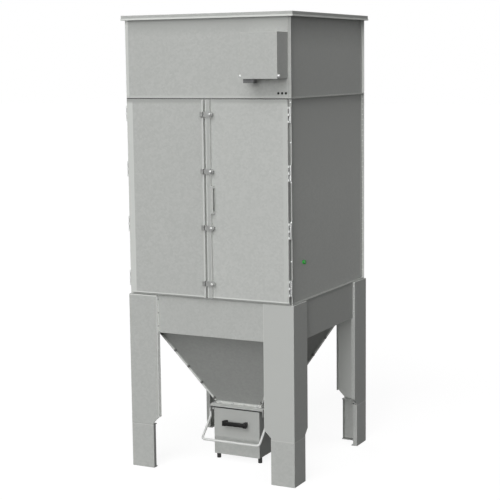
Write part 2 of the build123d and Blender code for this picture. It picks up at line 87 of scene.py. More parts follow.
class Finish:
    # a material on Object coordinates

    def __init__(self, name):
        self.material = bpy.data.materials.new(name)
        self.material.use_nodes = True
        self.tree = self.material.node_tree
        self.shader = self.tree.nodes["Principled BSDF"]
        self.place = self.node("TexCoord", {}, {}, "Object")

    def node(self, kind, settings, inputs, output=0):
        made = self.tree.nodes.new("ShaderNode" + kind)
        for name, value in settings.items():
            setattr(made, name, value)
        for key, value in inputs.items():
            if isinstance(value, Signal):
                self.tree.links.new(value.socket, made.inputs[key])
            else:
                made.inputs[key].default_value = value
        return Signal(self, made.outputs[output])

    def noise(self, scale, detail=3, stretch=(1, 1, 1)):
        place = self.node("Mapping", {}, {"Vector": self.place, "Scale": stretch})
        return self.node("TexNoise", {}, {"Vector": place, "Scale": scale, "Detail": detail})

    def cells(self, scale):
        return self.node("TexVoronoi", {}, {"Vector": self.place, "Scale": scale}, "Color")

    def along(self, axis):
        return self.node("SeparateXYZ", {}, {0: self.place}, axis)

    def inside(self, low, high, soft):
        # 1 where the place lies between two corners, fading over the soft width
        mask = 1
        for axis in range(3):
            place = self.along(axis)
            if low[axis] is not None:
                mask = mask * place.between(low[axis] - soft, low[axis])
            if high[axis] is not None:
                mask = mask * (1 - place.between(high[axis], high[axis] + soft))
        return mask

    def mixColours(self, factor, first, second):
        inputs = {0: factor, 6: (*first, 1) if isinstance(first, tuple) else first}
        inputs[7] = (*second, 1) if isinstance(second, tuple) else second
        return self.node("Mix", {"data_type": "RGBA"}, inputs, 2)

    def softNormal(self, radius):
        return self.node("Bevel", {"samples": 4}, {"Radius": radius})

    def edges(self, soft):
        # 1 where the soft normal leaves the flat one
        flat = self.node("NewGeometry", {}, {}, "Normal")
        same = self.node("VectorMath", {"operation": "DOT_PRODUCT"}, {0: soft, 1: flat}, "Value")
        return (1 - same).between(0.01, 0.15)

    def bump(self, height, distance, strength, normal=None):
        inputs = {"Height": height, "Distance": distance, "Strength": strength}
        if normal:
            inputs["Normal"] = normal
        return self.node("Bump", {}, inputs)

    def set(self, **values):
        for name, value in values.items():
            socket = self.shader.inputs[name.replace("_", " ")]
            if isinstance(value, Signal):
                self.tree.links.new(value.socket, socket)
            elif isinstance(value, tuple):
                socket.default_value = (*value, 1)
            else:
                socket.default_value = value
        return self.material


def shade(colour, share):
    return tuple(part * share for part in colour)


# scales of the sheet's patterns, per metre; the spangle is about 10 mm
spangle = {"cells": 95, "cloud": 22, "grain": 420, "broad": 2.2}
relief = {"sheet": 0.00012, "plate": 0.00005, "paint": 0.00008, "plastic": 0.00012, "media": 0.0004}


def galvanised(name, colour, mottle=0.05, gloss=0.55, metal=0.05, zones=()):
    # zones are pairs of a mask, made from the finish, and a tone; the tones paint light and shade
    # into the sheet's colour
    finish = Finish(name)
    cells = finish.cells(spangle["cells"])
    red = finish.node("SeparateColor", {}, {0: cells}, 0)
    cloud = finish.noise(spangle["cloud"], 4, (1, 1, 1.6))
    grain = finish.noise(spangle["grain"], 2)
    broad = finish.noise(spangle["broad"], 2)
    tone = (0.45 * red + 0.35 * cloud + 0.2 * grain).between(0.3, 0.7)
    base = finish.mixColours(tone, shade(colour, 1 - mottle), shade(colour, 1 + mottle))
    base = finish.mixColours(broad.between(0.35, 0.7) * 0.25, base, shade(colour, 0.94))
    for mask, share in zones:
        base = finish.mixColours(mask(finish), base, shade(colour, share))
    soft = finish.softNormal(3.5 * mm)
    # painted highlight: the colour is lighter along the rounded edges, as if they caught the light
    base = finish.mixColours(finish.edges(soft) * (0.45 + 0.3 * cloud), base, shade(colour, 1.4))
    rough = gloss + 0.12 * (tone - 0.5) + 0.08 * (cloud - 0.5)
    height = grain * 0.3 + red * 0.7
    return finish.set(
        Base_Color=base,
        Roughness=rough,
        Metallic=metal,
        Specular_IOR_Level=0.3,
        Normal=finish.bump(height, relief["sheet"], 0.5, soft),
    )


def zincPlate(name, colour):
    finish = Finish(name)
    cloud = finish.noise(60, 3)
    fine = finish.noise(900, 2, (1, 1, 0.2))
    base = finish.mixColours(cloud.between(0.3, 0.7), shade(colour, 0.9), shade(colour, 1.06))
    return finish.set(
        Base_Color=base,
        Roughness=0.3 + 0.15 * cloud,
        Metallic=0.55,
        Normal=finish.bump(fine, relief["plate"], 0.4, finish.softNormal(1 * mm)),
    )


def satinPaint(name, colour):
    finish = Finish(name)
    orangePeel = finish.noise(700, 2)
    worn = finish.noise(30, 5).between(0.62, 0.8)
    base = finish.mixColours(worn * 0.35, colour, shade(colour, 0.8))
    return finish.set(
        Base_Color=base,
        Roughness=0.38 + 0.15 * worn,
        Normal=finish.bump(orangePeel, relief["paint"], 0.35),
    )


def mouldedPlastic(name, colour, rough):
    finish = Finish(name)
    grain = finish.noise(1400, 3)
    cloud = finish.noise(40, 3)
    base = finish.mixColours(cloud, shade(colour, 0.8), shade(colour, 1.25))
    return finish.set(
        Base_Color=base,
        Roughness=rough + 0.12 * (cloud - 0.5),
        Specular_IOR_Level=0.25,
        Normal=finish.bump(grain, relief["plastic"], 0.5),
    )


def pleatedMedia(name, colour):
    finish = Finish(name)
    fibre = finish.noise(900, 4, (1, 1, 0.15))
    dust = finish.noise(9, 4).between(0.4, 0.75)
    base = finish.mixColours(fibre, shade(colour, 0.9), colour)
    base = finish.mixColours(dust * 0.35, base, shade(colour, 0.72))
    return finish.set(
        Base_Color=base,
        Roughness=0.9,
        Normal=finish.bump(fibre, relief["media"], 0.6),
    )


tones = {
    "sheet": (0.43, 0.44, 0.424),
    "frame": (0.425, 0.435, 0.419),
    # pale is a lighter copy of the sheet, for painted highlights
    "pale": (0.54, 0.55, 0.53),
    "zinc": (0.55, 0.56, 0.55),
    "latch": (0.4, 0.405, 0.395),
    "keeper": (0.35, 0.355, 0.345),
    "knob": (0.62, 0.63, 0.62),
    # bolt is a darker zinc, for painted shade on the hopper's bolts
    "bolt": (0.2, 0.2, 0.195),
    "cap": (0.88, 0.89, 0.88),
    "paint": (0.67, 0.68, 0.665),
    "black": (0.009, 0.009, 0.009),
    "grey": (0.13, 0.133, 0.133),
    "rubber": (0.018, 0.018, 0.018),
    "foot": (0.05, 0.05, 0.05),
    "seal": (0.06, 0.06, 0.062),
    "media": (0.72, 0.72, 0.68),
    "ring": (0.035, 0.36, 0.055),
}
free = (None, None, None)


# planes where the folds and faces of the sheet parts begin
plane = {
    "wall": 0.4835,
    "frontFold": -0.4975,
    "rearFold": 0.4935,
    "sideFold": 0.4938,
    "ribFace": -0.530,
    "ribTurn": 0.0352,
    "legFace": -0.507,
    "legFront": 0.5078,
    "roofLip": 2.5112,
    "hingeFace": -0.5125,
    "binWall": 0.1437,
}


def zone(low, high, soft, tone):
    # a low corner, a high corner, the width of the fade and the tone inside
    return lambda finish: finish.inside(low, high, soft), tone


# on the doors: painted light as a lighter band on the hinge side, painted shadow across the top
# under the head and a painted highlight along the low edge
doorTopShadow = zone((None, None, 2.067), free, 16 * mm, 0.8)
doorLowHighlight = zone(free, (None, None, 1.0135), 1.5 * mm, 1.4)
leftBandLight = zone(free, (-0.4515, None, None), 2 * mm, 1.3)
rightBandLight = zone((0.4605, None, None), free, 1 * mm, 1.05)
# along the meeting of the doors: painted highlights on the ribs' edges, painted light on the ribs'
# shaded side faces and painted shade on the right rib's front
leftRibHighlight = zone((-0.0125, None, None), (None, plane["ribFace"], None), 1 * mm, 1.22)
leftRibSideLight = zone((-0.0033, None, None), free, 0.2 * mm, 1.8)
rightRibHighlight = zone(free, (0.0155, plane["ribFace"], None), 1 * mm, 1.18)
rightRibFrontShade = zone((0.0165, None, None), (plane["ribTurn"], plane["ribFace"], None), 1 * mm, 0.87)
rightRibSideLight = zone((plane["ribTurn"], None, None), (0.0368, -0.5215, None), 0.3 * mm, 1.5)
# on the side panels: the folded flanges painted lighter than the wall, painted shade in the folds,
# and a painted shadow on the right front flange beside the door, lifted to a lit line along its
# outer edge
leftFlangeLight = zone(free, (-plane["wall"], None, None), 1 * mm, 1.3)
rightRearLight = zone((None, plane["rearFold"], None), free, 1 * mm, 1.2)
rearInnerShade = zone((0.4825, plane["rearFold"], None), (0.4885, None, None), 0.5 * mm, 0.5)
rightFrontShadow = zone(
    (plane["wall"], None, None), (plane["sideFold"], plane["frontFold"], None), 0.5 * mm, 0.34
)
rightEdgeLight = zone((0.4945, None, None), (None, plane["frontFold"], None), 0.5 * mm, 0.95)
# painted shade in the fold behind the front flange
frontFold = zone((None, plane["frontFold"], None), (plane["wall"], -0.484, None), 4 * mm, 0.7)
# painted shadow on the head's front under the roof's lip, and painted shade on the side walls,
# darker towards the top and darkest under the roof
headHighShadow = zone((None, None, 2.495), free, 80 * mm, 0.8)
headWallShade = zone(free, (plane["wall"], None, None), 0.5 * mm, 0.86)
chamberHighShade = zone((None, None, 2.07), (plane["wall"], None, None), 500 * mm, 0.86)
wallHighShadow = zone((None, None, 2.48), (plane["wall"], None, None), 150 * mm, 0.7)
# painted highlights on the edges at the joints, and painted shade on the roof's side lip
headLowHighlight = zone(free, (None, None, 2.094), 2 * mm, 1.12)
roofHemHighlight = zone(free, (None, None, plane["roofLip"]), 1 * mm, 1.5)
roofSideShade = zone((0.5162, None, plane["roofLip"]), free, 0.5 * mm, 0.66)
# painted highlights on the legs' tops and edges and the feet's tops, painted light on the legs'
# lips, right fronts and inner faces, painted shade on the frame's right sides and at the leg joints
legTopHighlight = zone((None, None, 0.9875), free, 1.5 * mm, 1.5)
legEdgeHighlight = zone((-0.334, None, None), (-0.3285, plane["legFace"], None), 1 * mm, 1.2)
legRightEdgeHighlight = zone((0.3285, None, None), (0.3325, plane["legFace"], None), 1 * mm, 1.18)
legLipLight = zone((-0.3293, plane["legFace"], None), (-0.328, -0.48, None), 0.3 * mm, 2.6)
legRightFrontLight = zone((0.333, None, None), (None, -plane["legFront"], None), 0.3 * mm, 1.06)
legInnerLight = zone((0.33, 0.48, None), (0.5, 0.5065, None), 1 * mm, 1.18)
legSideShade = zone((plane["legFront"], None, None), free, 0.3 * mm, 0.9)
apronSideShade = zone((plane["sideFold"], None, None), free, 0.3 * mm, 0.84)
legJointShade = zone(free, (None, None, 0.2535), 1 * mm, 0.82)
footTopHighlight = zone((None, None, 0.246), free, 1 * mm, 1.15)
# painted shadow on the bin's side and painted shade on its upper front
binSideShadow = zone((plane["binWall"], None, None), free, 0.5 * mm, 0.68)
binFrontShade = zone((None, None, 0.16), (plane["binWall"], -0.198, None), 30 * mm, 0.92)


# the hopper's outline at its foot and how much it widens with the height
taper = {"level": 0.34, "half": (0.138, 0.165), "slope": (0.5603, 0.5157), "fade": (0.004, 0.005)}


def hopperCorner(finish):
    # 1 on the bolting flanges that stand out from the hopper's corners
    level = finish.along(2) - taper["level"]
    mask = 1
    for axis in (0, 1):
        out = finish.along(axis).size() - taper["half"][axis] - taper["slope"][axis] * level
        mask = mask * out.between(*taper["fade"])
    return mask


# the lowest hinge, half the way to the next one, half the pitch of its tongues
tongue = {"level": 1.086, "reaches": (0.152, 0.018), "fade": (0.006, 0.0065)}


def hingeGap(finish):
    # 0 on the hinges' tongues and 1 between them
    level = finish.along(2) - tongue["level"]
    for reach in tongue["reaches"]:
        level = finish.node("Math", {"operation": "WRAP"}, {0: level, 1: reach, 2: -reach})
    return level.size().between(*tongue["fade"])


def hingeFront(finish):
    return finish.inside(free, (None, plane["hingeFace"], None), 0.5 * mm)


def hingeTongueLight(finish):
    return hingeFront(finish) * (1 - hingeGap(finish))


def hingeWindowShadow(finish):
    return hingeFront(finish) * hingeGap(finish)


sheetSteel = galvanised("galvanisedSheet", tones["sheet"])
leftDoorSteel = galvanised(
    "leftDoorSheet", tones["sheet"], zones=[leftBandLight, doorTopShadow, doorLowHighlight, leftRibHighlight, leftRibSideLight]
)
# painted light: the right door is a slightly lighter copy of the sheet
rightDoorSteel = galvanised(
    "rightDoorSheet",
    shade(tones["sheet"], 1.06),
    zones=[rightBandLight, doorTopShadow, doorLowHighlight, rightRibHighlight, rightRibFrontShade, rightRibSideLight],
)
leftSideSteel = galvanised("leftSideSheet", tones["sheet"], zones=[leftFlangeLight])
rightSideSteel = galvanised(
    "rightSideSheet",
    tones["sheet"],
    zones=[rightRearLight, rearInnerShade, rightFrontShadow, rightEdgeLight, frontFold, chamberHighShade],
)
headFrontSteel = galvanised("headFrontSheet", tones["sheet"], zones=[headLowHighlight, headHighShadow])
headRightSteel = galvanised(
    "headRightSheet", tones["sheet"], zones=[rightRearLight, rearInnerShade, headWallShade, wallHighShadow]
)
roofSteel = galvanised("roofSheet", tones["sheet"], zones=[roofHemHighlight, roofSideShade])
# painted light: the centre post, deep in the gap between the doors, is a much lighter copy of the
# sheet
postLitSteel = galvanised("postLitSheet", shade(tones["sheet"], 1.85))
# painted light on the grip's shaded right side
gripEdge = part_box("door_grip")[1][0] - 1 * mm
gripSideLight = zone((gripEdge, None, None), free, 0.5 * mm, 1.9)
gripSteel = galvanised("gripSheet", tones["sheet"], zones=[gripSideLight])
binSteel = galvanised("binSheet", tones["sheet"], zones=[binSideShadow, binFrontShade])
# painted light on the hinges' tongues and painted shadow in the windows between them
hingeSteel = galvanised(
    "hingeSheet", tones["zinc"], 0.03, 0.4, 0.3, zones=[(hingeTongueLight, 1.45), (hingeWindowShadow, 0.62)]
)
frameLook = {"mottle": 0.045, "gloss": 0.52}
legSteel = galvanised(
    "legSheet",
    tones["frame"],
    zones=[legTopHighlight, legEdgeHighlight, legRightEdgeHighlight, legJointShade, legLipLight, legInnerLight, legSideShade, legRightFrontLight],
    **frameLook,
)
footSteel = galvanised("footSheet", tones["frame"], zones=[footTopHighlight], **frameLook)
frameSteel = galvanised("frameSheet", tones["frame"], zones=[apronSideShade], **frameLook)
# painted shade: the hopper is a darker copy of the frame's sheet, and its corner flanges are
# painted lighter
hopperSteel = galvanised(
    "hopperSheet", shade(tones["frame"], 0.74), zones=[(hopperCorner, 2.1)], **frameLook
)
# painted highlight: a lighter copy of the sheet for the tube sheet's edge, the outlet collar and
# the rear flange's rivets
paleLitSteel = galvanised("paleLitFlange", tones["pale"], 0.04, 0.45)
zincSteel = zincPlate("zincPlate", tones["zinc"])
latchSteel = zincPlate("latchPlate", tones["latch"])
keeperSteel = zincPlate("keeperPlate", tones["keeper"])
knobSteel = zincPlate("knobZinc", tones["knob"])
# painted shade: a darker zinc for the hopper's bolts, which sit in shade
shadedBoltSteel = zincPlate("shadedBoltZinc", tones["bolt"])
capSteel = zincPlate("polishedCap", tones["cap"])
bailPaint = satinPaint("bailPaint", tones["paint"])
blackPlastic = mouldedPlastic("blackPlastic", tones["black"], 0.5)
greyPlastic = mouldedPlastic("greyPlastic", tones["grey"], 0.5)
blackRubber = mouldedPlastic("blackRubber", tones["rubber"], 0.75)
footRubber = mouldedPlastic("footRubber", tones["foot"], 0.7)
sealFoam = mouldedPlastic("sealFoam", tones["seal"], 0.85)
greenRing = mouldedPlastic("greenRing", tones["ring"], 0.45)
filterMedia = pleatedMedia("filterMedia", tones["media"])

slotFinish = {
    "galvanised_sheet": sheetSteel,
    "bright_zinc": zincSteel,
    "light_paint": bailPaint,
    "black_plastic": blackPlastic,
    "black_rubber": blackRubber,
    "filter_media": filterMedia,
}
nodeFinish = {
    "left_door": leftDoorSteel,
    "right_door": rightDoorSteel,
    "head_front_panel": headFrontSteel,
    "head_left_panel": leftSideSteel,
    "head_right_panel": headRightSteel,
    "chamber_left_panel": leftSideSteel,
    "chamber_right_panel": rightSideSteel,
    "roof_cover": roofSteel,
    "centre_post": postLitSteel,
    "dust_bin": binSteel,
    "left_hinges_door": hingeSteel,
    "right_hinges_door": hingeSteel,
    "tube_sheet": paleLitSteel,
    "connector_block": greyPlastic,
    "leg_feet": footSteel,
    "bin_feet": footRubber,
    "latch_keepers": keeperSteel,
    "door_grip": gripSteel,
    "outlet_collar": paleLitSteel,
}
for name in frame["nodes"]:
    if name.startswith("leg_") and name not in nodeFinish:
        nodeFinish[name] = legSteel
    elif name.startswith("hopper_"):
        nodeFinish[name] = hopperSteel
    elif name.startswith("latch_") and name not in nodeFinish:
        nodeFinish[name] = latchSteel
for entry in frame["record"]["subparts"]:
    node = frame["nodes"][entry["node"]]
    node.data.materials.clear()
    node.data.materials.append(nodeFinish.get(entry["node"], slotFinish[entry["material_slot"]]))
print("finishes made")


def deselect():
    if bpy.context.object and bpy.context.object.mode != "OBJECT":
        bpy.ops.object.mode_set(mode="OBJECT")
    bpy.ops.object.select_all(action="DESELECT")


def selectOnly(piece):
    deselect()
    bpy.context.view_layer.objects.active = piece
    piece.select_set(True)


def edit(piece, kind="FACE"):
    selectOnly(piece)
    bpy.ops.object.mode_set(mode="EDIT")
    bpy.ops.mesh.select_mode(type=kind)
    bpy.ops.mesh.select_all(action="DESELECT")


def choose(piece, wanted):
    # selects the faces that wanted() picks, and goes back to edit mode
    bpy.ops.object.mode_set(mode="OBJECT")
    for face in piece.data.polygons:
        face.select = wanted(face)
    bpy.ops.object.mode_set(mode="EDIT")


def chooseVertices(piece, wanted):
    # the same for the vertices, whose edges and faces go with them
    bpy.ops.object.mode_set(mode="OBJECT")
    for vertex in piece.data.vertices:
        vertex.select = wanted(vertex.co)
    bpy.ops.object.mode_set(mode="EDIT")


def facing(direction):
    aim = Vector(direction)
    return lambda face: face.normal.dot(aim) > 0.9


def leaveEdit():
    bpy.ops.object.mode_set(mode="OBJECT")
    deselect()


def addModifier(piece, kind, **settings):
    selectOnly(piece)
    modifier = piece.modifiers.new(kind.title(), kind)
    for name, value in settings.items():
        setattr(modifier, name, value)
    bpy.ops.object.modifier_apply(modifier=modifier.name)
    deselect()


def bevelled(piece, width, segments=2, angle=30):
    limit = {"limit_method": "ANGLE", "angle_limit": radians(angle)}
    addModifier(piece, "BEVEL", width=width, segments=segments, **limit)
    return piece


def smooth(piece, angle=35):
    selectOnly(piece)
    bpy.ops.object.shade_smooth_by_angle(angle=radians(angle))
    deselect()


def settle(piece, name):
    # puts the piece's place into its mesh
    selectOnly(piece)
    bpy.ops.object.transform_apply(location=True, rotation=True, scale=True)
    piece.name = name
    deselect()
    return piece


def addBox(low, high):
    deselect()
    middle = [(a + b) / 2 for a, b in zip(low, high)]
    bpy.ops.mesh.primitive_cube_add(size=1, location=middle)
    piece = bpy.context.object
    piece.scale = [b - a for a, b in zip(low, high)]
    return settle(piece, "box")


def addRound(radius, depth, sides=24, place=(0, 0, 0), turn=(0, 0, 0)):
    deselect()
    bpy.ops.mesh.primitive_cylinder_add(
        vertices=sides, radius=radius, depth=depth, location=place, rotation=turn
    )
    return settle(bpy.context.object, "round")


def joined(pieces, name):
    deselect()
    for piece in pieces:
        piece.select_set(True)
    bpy.context.view_layer.objects.active = pieces[0]
    if len(pieces) > 1:
        bpy.ops.object.join()
    pieces[0].name = name
    deselect()
    return pieces[0]


def aim(point, normal, roll=0):
    turn = Vector(normal).to_track_quat("Z", "Y").to_matrix().to_4x4()
    return Matrix.Translation(point) @ turn @ Matrix.Rotation(roll, 4, "Z")


def copies(master, places, name):
    made = []
    for place in places:
        copy = master.copy()
        copy.data = master.data.copy()
        copy.data.transform(place)
        bpy.context.scene.collection.objects.link(copy)
        made.append(copy)
    return joined(made, name)


def finishPiece(piece, material, body="cabinet"):
    piece.data.materials.clear()
    piece.data.materials.append(material)
    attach(piece, body)
    return piece


def discard(*pieces):
    for piece in pieces:
        bpy.data.objects.remove(piece)


def makeHexBolt():
    bolt = {
        "corner": 7.5 * mm,
        "head": 5.3 * mm,
        "rim": 1.1 * mm,
        "crown": 0.6 * mm,
        "washer": 8.5 * mm,
        "plate": 1.6 * mm,
        "edge": 0.4 * mm,
    }
    washer = addRound(bolt["washer"], bolt["plate"], 20, (0, 0, bolt["plate"] / 2))
    bevelled(washer, bolt["edge"], 1)
    middle = bolt["plate"] + bolt["head"] / 2
    head = addRound(bolt["corner"], bolt["head"], 6, (0, 0, middle))
    edit(head)
    choose(head, facing((0, 0, 1)))
    bpy.ops.mesh.inset(thickness=bolt["rim"])
    bpy.ops.transform.translate(value=(0, 0, bolt["crown"]))
    leaveEdit()
    return joined([head, washer], "hexBolt")


def makeRivet():
    rivet = {"radius": 4 * mm, "rise": 1.7 * mm}
    deselect()
    bpy.ops.mesh.primitive_uv_sphere_add(segments=12, ring_count=8, radius=rivet["radius"])
    dome = bpy.context.object
    edit(dome)
    bpy.ops.mesh.select_all(action="SELECT")
    bpy.ops.mesh.bisect(plane_co=(0, 0, 0), plane_no=(0, 0, 1), clear_inner=True, use_fill=True)
    leaveEdit()
    dome.scale = (1, 1, rivet["rise"] / rivet["radius"])
    dome = settle(dome, "rivet")
    smooth(dome, 50)
    return dome


def makeScrew():
    screw = {
        "radius": 4.2 * mm,
        "head": 2.4 * mm,
        "rim": 1.3 * mm,
        "crown": 0.5 * mm,
        "socketRim": 1.0 * mm,
        "socket": 0.9 * mm,
    }
    head = addRound(screw["radius"], screw["head"], 16, (0, 0, screw["head"] / 2))
    edit(head)
    choose(head, facing((0, 0, 1)))
    bpy.ops.mesh.inset(thickness=screw["rim"])
    bpy.ops.transform.translate(value=(0, 0, screw["crown"]))
    bpy.ops.mesh.inset(thickness=screw["socketRim"])
    bpy.ops.mesh.extrude_region_move(TRANSFORM_OT_translate={"value": (0, 0, -screw["socket"])})
    leaveEdit()
    smooth(head, 40)
    return settle(head, "screw")


hexBolt = makeHexBolt()
rivet = makeRivet()
screw = makeScrew()
print("fasteners made")


hopper = {
    "top": (0.477, 0.477, 0.945),
    "low": (0.138, 0.165, 0.340),
    "flange": 10 * mm,
    "plates": 3 * mm,
    "levels": (0.849, 0.750, 0.651, 0.552, 0.453, 0.356),
    "roll": 0.3,
}


def hopperCornerPlaces():
    top = Vector(hopper["top"])
    low = Vector(hopper["low"])
    run = Vector((top.x - low.x, top.y - low.y, 0)).normalized()
    across = Vector((run.y, -run.x, 0))
    places = []
    for level in hopper["levels"]:
        share = (level - low.z) / (top.z - low.z)
        point = low.lerp(top, share) + run * hopper["flange"]
        for side in (-1, 1):
            spot = point + across * side * hopper["plates"]
            for signX in (-1, 1):
                for signY in (-1, 1):
                    place = (spot.x * signX, spot.y * signY, spot.z)
                    normal = (across.x * side * signX, across.y * side * signY, 0)
                    places.append(aim(place, normal, hopper["roll"]))
    return places


finishPiece(copies(hexBolt, hopperCornerPlaces(), "hopper_bolts"), shadedBoltSteel)

collar = {"x": 0.1443, "y": 0.1713, "level": 0.330, "pitch": 0.0787, "sidePitch": 0.086}
places = []
for step in (-1.5, -0.5, 0.5, 1.5):
    x = step * collar["pitch"]
    y = step * collar["sidePitch"]
    for sign in (-1, 1):
        places.append(aim((x, sign * collar["y"], collar["level"]), (0, sign, 0)))
        places.append(aim((sign * collar["x"], y, collar["level"]), (sign, 0, 0)))
finishPiece(copies(hexBolt, places, "collar_bolts"), zincSteel)
print("hopper bolts made")


apron = {
    "out": 0.4945,
    "sheet": 3 * mm,
    "low": 0.782,
    "high": 0.993,
    "halfFront": 0.3285,
    "halfSide": 0.3365,
    "fold": 22 * mm,
    "foot": 18 * mm,
    "edge": 1.2 * mm,
}


def makeApron(half, turn):
    # a face plate with its four edges folded inward, on the -Y side
    a = apron
    deselect()
    middle = (0, -a["out"], (a["low"] + a["high"]) / 2)
    bpy.ops.mesh.primitive_plane_add(size=1, location=middle, rotation=(pi / 2, 0, 0))
    plate = bpy.context.object
    plate.scale = (2 * half, a["high"] - a["low"], 1)
    plate = settle(plate, "apron")
    folds = (
        (lambda place: place.z > a["high"] - mm, a["fold"]),
        (lambda place: place.z < a["low"] + mm, a["foot"]),
        (lambda place: place.x > half - mm, a["fold"]),
        (lambda place: place.x < mm - half, a["fold"]),
    )
    edit(plate, "VERT")
    for wanted, reach in folds:
        chooseVertices(plate, lambda place: wanted(place) and place.y < mm - a["out"])
        bpy.ops.mesh.extrude_region_move(TRANSFORM_OT_translate={"value": (0, reach, 0)})
    bpy.ops.mesh.select_all(action="SELECT")
    bpy.ops.mesh.normals_make_consistent(inside=False)
    leaveEdit()
    addModifier(plate, "SOLIDIFY", thickness=a["sheet"], offset=-1)
    bevelled(plate, a["edge"], 2)
    plate.data.transform(Matrix.Rotation(turn, 4, "Z"))
    return plate


sides = [
    makeApron(apron["halfFront"], 0),
    makeApron(apron["halfSide"], pi / 2),
    makeApron(apron["halfFront"], pi),
    makeApron(apron["halfSide"], -pi / 2),
]
aprons = joined(sides, "recessed_aprons")
finishPiece(aprons, frameSteel)
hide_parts("frame_aprons")
print("aprons made")


legBolt = {
    "joint": 0.253,
    "plates": ((0.4905, 0.387), (0.387, 0.4905), (0.461, 0.461)),
    "roll": 0.4,
    "edge": 0.5015,
    "lips": (0.3285, 0.3365),
    "levels": (0.82, 0.895, 0.97),
}


def legBoltPlaces():
    # through the joint plates, and through the leg lips in front of the aprons
    b = legBolt
    lipX, lipY = b["lips"]
    plates = []
    lips = []
    for signX in (-1, 1):
        for signY in (-1, 1):
            for x, y in b["plates"]:
                plates.append(aim((signX * x, signY * y, b["joint"]), (0, 0, 1), b["roll"]))
            for level in b["levels"]:
                lips.append(aim((signX * lipX, signY * b["edge"], level), (-signX, 0, 0)))
                lips.append(aim((signX * b["edge"], signY * lipY, level), (0, -signY, 0)))
    return plates, lips


platePlaces, lipPlaces = legBoltPlaces()
finishPiece(copies(hexBolt, platePlaces, "frame_bolts"), zincSteel)
finishPiece(copies(screw, lipPlaces, "leg_lip_screws"), zincSteel)
print("frame bolts made")


cabinet = {
    "front": -0.500,
    "bottom": 0.996,
    "top": 2.082,
    "rearFlange": (0.491, 0.496),
    "rivetMargin": 0.02,
    "rivetPitch": 0.0305,
}


def flangeRivetPlaces():
    c = cabinet
    x, y = c["rearFlange"]
    places = []
    count = int((c["top"] - c["bottom"] - 2 * c["rivetMargin"]) / c["rivetPitch"])
    for index in range(count + 1):
        level = c["bottom"] + c["rivetMargin"] + index * c["rivetPitch"]
        for sign in (-1, 1):
            places.append(aim((sign * x, y, level), (0, -1, 0)))
    return places


finishPiece(copies(rivet, flangeRivetPlaces(), "rear_flange_rivets"), paleLitSteel)


# a dark seal strip between the head and the chamber, seen as a dark line above the doors: partly a
# real seal, partly a painted shadow in the seam
seam = {
    "half": 0.4995,
    "face": -0.5006,
    "low": 2.0772,
    "high": 2.0818,
    "depth": 0.8 * mm,
    "rim": 1.2 * mm,
    "groove": 0.4 * mm,
}


def makeSeamShadowSeal():
    low = (-seam["half"], seam["face"], seam["low"])
    high = (seam["half"], seam["face"] + seam["depth"], seam["high"])
    strip = addBox(low, high)
    edit(strip)
    choose(strip, facing((0, -1, 0)))
    bpy.ops.mesh.inset(thickness=seam["rim"])
    bpy.ops.transform.translate(value=(0, seam["groove"], 0))
    leaveEdit()
    strip.name = "seam_shadow_seal"
    return finishPiece(strip, sealFoam)


makeSeamShadowSeal()

# screws on the side panels' front flanges, between the hinges
flangeScrew = {"x": 0.4945, "levels": (1.229, 1.436, 1.646, 1.854, 2.062)}
places = [
    aim((side * flangeScrew["x"], cabinet["front"], level), (0, -1, 0))
    for level in flangeScrew["levels"]
    for side in (-1, 1)
]
finishPiece(copies(screw, places, "front_flange_screws"), capSteel)

# blanking plugs in the head's three front holes
blank = {
    "x": (0.4257, 0.4475, 0.4693),
    "level": 2.108,
    "radius": 6.6 * mm,
    "rise": 1.6 * mm,
    "rim": 2.2 * mm,
    "dish": 1.1 * mm,
    "edge": 0.4 * mm,
}
grommet = addRound(blank["radius"], blank["rise"], 24, (0, 0, blank["rise"] / 2))
edit(grommet)
choose(grommet, facing((0, 0, 1)))
bpy.ops.mesh.inset(thickness=blank["rim"])
bpy.ops.mesh.extrude_region_move(TRANSFORM_OT_translate={"value": (0, 0, -blank["dish"])})
leaveEdit()
bevelled(grommet, blank["edge"])
smooth(grommet)
places = [aim((x, cabinet["front"], blank["level"]), (0, -1, 0)) for x in blank["x"]]
finishPiece(copies(grommet, places, "front_hole_plugs"), blackRubber)
discard(grommet)
print("cabinet fasteners made")


seal = {
    "width": 15 * mm,
    "thick": 3.6 * mm,
    "edge": 1.2 * mm,
    "face": -0.500,
    "low": 1.012,
    "high": 2.072,
    "left": (-0.477, -0.0045),
    "right": (0.0105, 0.477),
}


def makeSeal(left, right, name):
    deselect()
    middle = ((left + right) / 2, seal["face"], (seal["low"] + seal["high"]) / 2)
    bpy.ops.mesh.primitive_plane_add(size=1, location=middle, rotation=(pi / 2, 0, 0))
    strip = bpy.context.object
    strip.scale = (right - left, seal["high"] - seal["low"], 1)
    strip = settle(strip, name)
    edit(strip)
    bpy.ops.mesh.select_all(action="SELECT")
    bpy.ops.mesh.inset(thickness=seal["width"])
    bpy.ops.mesh.delete(type="FACE")
    bpy.ops.mesh.select_all(action="SELECT")
    bpy.ops.mesh.extrude_region_move(TRANSFORM_OT_translate={"value": (0, -seal["thick"], 0)})
    bpy.ops.mesh.select_all(action="SELECT")
    bpy.ops.mesh.normals_make_consistent(inside=False)
    leaveEdit()
    bevelled(strip, seal["edge"], 2, 60)
    smooth(strip)
    return finishPiece(strip, sealFoam)


makeSeal(*seal["left"], "left_door_seal")
makeSeal(*seal["right"], "right_door_seal")
print("seals made")


cartridge = {
    "radius": 0.156,
    "valley": 0.126,
    "pleats": 84,
    "top": 2.082,
    "length": 0.66,
    "cap": 0.02,
    "capRadius": 0.162,
    "capGap": 0.5 * mm,
    "rim": 2 * mm,
    "bore": 0.110,
    "pitch": 0.225,
    "nut": 11 * mm,
    "nutHeight": 7 * mm,
    "nutDrop": 3 * mm,
}


